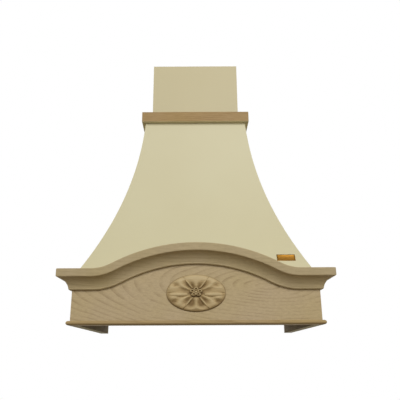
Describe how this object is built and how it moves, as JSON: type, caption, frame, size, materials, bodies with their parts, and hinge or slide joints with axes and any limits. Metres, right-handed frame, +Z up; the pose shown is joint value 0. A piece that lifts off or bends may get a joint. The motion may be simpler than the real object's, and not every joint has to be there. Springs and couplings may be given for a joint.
{
  "type": "wall range hood",
  "caption": "Wall range hood: flared painted canopy on an arched wooden skirt with crown moulding and an oval rosette, sliding chimney cover, drop-down filters, blower and push-buttons.",
  "frame": {"origin": "midway between the two wall screw holes, on the wall plane", "axes": "+X to the right seen from the front, +Y towards the wall, +Z up"},
  "size_m": [0.9, 0.564, 1.124],
  "materials": {
    "raw_wood": "sanded, unfinished",
    "carved_wood": "carved, unfinished",
    "cream_paint": "satin paint",
    "zinc_steel": "galvanised",
    "tray_steel": "brushed",
    "filter_aluminium": "bare, fine mesh",
    "black_plastic": "matt",
    "pale_plastic": "satin",
    "lamp_trim": "polished",
    "lens_glass": "frosted",
    "lamp_metal": "cast",
    "wheel_steel": "galvanised",
    "bright_steel": "bright zinc",
    "motor_enamel": "baked enamel"
  },
  "bodies": {
    "hood": {"front_board": "raw_wood", "left_side_board": "raw_wood", "right_side_board": "raw_wood", "front_crown": "raw_wood", "left_crown": "raw_wood", "right_crown": "raw_wood", "front_bead": "raw_wood", "left_bead": "raw_wood", "right_bead": "raw_wood", "corner_blocks": "raw_wood", "front_collar": "raw_wood", "left_collar": "raw_wood", "right_collar": "raw_wood", "medallion": "carved_wood", "canopy_shell": "cream_paint", "wall_rail": "zinc_steel", "plenum_box": "zinc_steel", "motor_bracket": "zinc_steel", "filter_hinges": "zinc_steel", "outlet_spigot": "zinc_steel", "flap_pin": "zinc_steel", "tray": "tray_steel", "control_panel": "tray_steel", "control_box": "black_plastic", "switch_block": "black_plastic", "left_scroll": "black_plastic", "right_scroll": "black_plastic", "mains_gland": "black_plastic", "capacitor": "pale_plastic", "left_lamp_bezel": "lamp_trim", "right_lamp_bezel": "lamp_trim", "left_lamp_lens": "lens_glass", "right_lamp_lens": "lens_glass", "left_lamp_module": "lamp_metal", "right_lamp_module": "lamp_metal", "motor_bearings": "bright_steel", "canopy_screws": "bright_steel", "collar_screws": "bright_steel", "rail_screws": "bright_steel", "plenum_screws": "bright_steel", "tray_screws": "bright_steel", "motor": "motor_enamel"},
    "chimney": {"chimney_cover": "cream_paint", "chimney_bracket": "zinc_steel"},
    "left_filter": {"left_filter_frame": "filter_aluminium", "left_filter_mesh": "filter_aluminium"},
    "right_filter": {"right_filter_frame": "filter_aluminium", "right_filter_mesh": "filter_aluminium"},
    "left_latch": {"left_filter_latch": "black_plastic"},
    "right_latch": {"right_filter_latch": "black_plastic"},
    "blower_wheel": {"impeller": "wheel_steel", "motor_shaft": "bright_steel"},
    "front_flap": {"front_flap": "black_plastic"},
    "rear_flap": {"rear_flap": "black_plastic"},
    "off_button": {"off_button": "pale_plastic"},
    "low_button": {"low_button": "pale_plastic"},
    "medium_button": {"medium_button": "pale_plastic"},
    "high_button": {"high_button": "pale_plastic"},
    "light_button": {"light_button": "pale_plastic"}
  },
  "joints": [
    {"name": "chimney_slide", "type": "slide", "parent": "hood", "child": "chimney", "axis": [0, 0, 1], "range_m": [0, 0.16]},
    {"name": "left_filter_hinge", "type": "hinge", "parent": "hood", "child": "left_filter", "pos_m": [-0.155, -0.073, -0.49], "axis": [1, 0, 0], "range_deg": [0, 80]},
    {"name": "left_latch_slide", "type": "slide", "parent": "left_filter", "child": "left_latch", "axis": [0, -1, 0], "range_m": [0, 0.006]},
    {"name": "right_filter_hinge", "type": "hinge", "parent": "hood", "child": "right_filter", "pos_m": [0.155, -0.073, -0.49], "axis": [1, 0, 0], "range_deg": [0, 80]},
    {"name": "right_latch_slide", "type": "slide", "parent": "right_filter", "child": "right_latch", "axis": [0, -1, 0], "range_m": [0, 0.006]},
    {"name": "blower_spin", "type": "hinge", "parent": "hood", "child": "blower_wheel", "pos_m": [0, -0.209, -0.375], "axis": [1, 0, 0], "continuous": true},
    {"name": "front_flap_hinge", "type": "hinge", "parent": "hood", "child": "front_flap", "pos_m": [0, -0.15, -0.2117], "axis": [-1, 0, 0], "range_deg": [0, 80]},
    {"name": "rear_flap_hinge", "type": "hinge", "parent": "hood", "child": "rear_flap", "pos_m": [0, -0.15, -0.2117], "axis": [1, 0, 0], "range_deg": [0, 80]},
    {"name": "off_button_press", "type": "slide", "parent": "hood", "child": "off_button", "axis": [0, 0, 1], "range_m": [0, 0.003], "stiffness_N_per_m": 400, "springref_m": -0.002},
    {"name": "low_button_press", "type": "slide", "parent": "hood", "child": "low_button", "axis": [0, 0, 1], "range_m": [0, 0.003], "stiffness_N_per_m": 400, "springref_m": -0.002},
    {"name": "medium_button_press", "type": "slide", "parent": "hood", "child": "medium_button", "axis": [0, 0, 1], "range_m": [0, 0.003], "stiffness_N_per_m": 400, "springref_m": -0.002},
    {"name": "high_button_press", "type": "slide", "parent": "hood", "child": "high_button", "axis": [0, 0, 1], "range_m": [0, 0.003], "stiffness_N_per_m": 400, "springref_m": -0.002},
    {"name": "light_button_press", "type": "slide", "parent": "hood", "child": "light_button", "axis": [0, 0, 1], "range_m": [0, 0.003], "stiffness_N_per_m": 400, "springref_m": -0.002}
  ]
}
